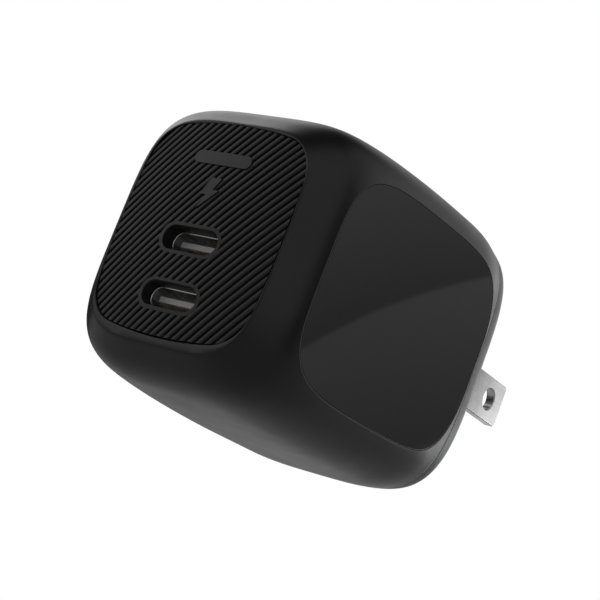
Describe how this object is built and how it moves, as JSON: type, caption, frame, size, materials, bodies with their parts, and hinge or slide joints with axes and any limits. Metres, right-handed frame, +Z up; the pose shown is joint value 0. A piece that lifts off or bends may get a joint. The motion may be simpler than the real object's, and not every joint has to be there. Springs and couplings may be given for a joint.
{
  "type": "usb wall charger",
  "caption": "Compact wall charger with a flat-blade plug that folds up into its back, a domed ribbed front with USB-C ports, and flat glossy sides.",
  "frame": {"origin": "middle of the plug: midway between the two prongs, on the wall face", "axes": "+X to the right seen from the ports, +Y into the wall, +Z up"},
  "size_m": [0.0338, 0.0699, 0.04],
  "materials": {
    "shell_matte": "fine matte moulded black",
    "side_gloss": "polished black",
    "panel_matte": "ribbed satin black",
    "mark_gloss": "raised satin black",
    "cap_matte": "satin charcoal",
    "prong_nickel": "bright nickel plate",
    "port_steel": "drawn steel",
    "tongue_plastic": "dark grey",
    "contact_gold": "gold plate",
    "rotor_plastic": "black",
    "pin_steel": "ground",
    "spring_bronze": "phosphor bronze",
    "lead_red": "insulation",
    "board_green": "solder mask",
    "sheet_amber": "polyimide film",
    "ferrite_grey": "sintered ferrite",
    "bobbin_black": "phenolic",
    "winding_copper": "enamelled copper",
    "can_sleeve": "heat-shrink sleeve",
    "can_bare": "bare can",
    "film_yellow": "moulded case",
    "chip_black": "epoxy package",
    "spreader_alloy": "rolled sheet",
    "pad_grey": "silicone pad"
  },
  "bodies": {
    "housing": {"main_shell": "shell_matte", "rear_cap": "cap_matte", "front_panel": "panel_matte", "panel_marks": "mark_gloss", "side_panel_right": "side_gloss", "side_panel_left": "side_gloss", "pivot_retainer": "rotor_plastic", "detent_spring": "spring_bronze", "contact_leaf_right": "spring_bronze", "contact_leaf_left": "spring_bronze", "ac_lead_right": "lead_red", "ac_lead_left": "lead_red", "port_board": "board_green", "floor_board": "board_green", "input_board": "board_green", "insulating_sheet": "sheet_amber", "transformer_core": "ferrite_grey", "transformer_bobbin": "bobbin_black", "transformer_winding": "winding_copper", "bulk_capacitors": "can_sleeve", "output_capacitors": "can_bare", "output_inductors": "ferrite_grey", "choke_core": "ferrite_grey", "choke_windings": "winding_copper", "x_capacitor": "film_yellow", "fuse": "chip_black", "bridge_rectifier": "chip_black", "power_chips": "chip_black", "heat_spreader_right": "spreader_alloy", "heat_spreader_left": "spreader_alloy", "thermal_pad": "pad_grey", "usb_shell_upper": "port_steel", "usb_tongue_upper": "tongue_plastic", "usb_contacts_upper": "contact_gold", "usb_shell_lower": "port_steel", "usb_tongue_lower": "tongue_plastic", "usb_contacts_lower": "contact_gold"},
    "prongs": {"prong_rotor": "rotor_plastic", "prong_left": "prong_nickel", "prong_right": "prong_nickel", "pivot_pin": "pin_steel"}
  },
  "joints": [
    {"name": "prong_fold", "type": "hinge", "parent": "housing", "child": "prongs", "pos_m": [0, -0.0027, -0.0011], "axis": [1, 0, 0], "range_deg": [0, 90]}
  ]
}
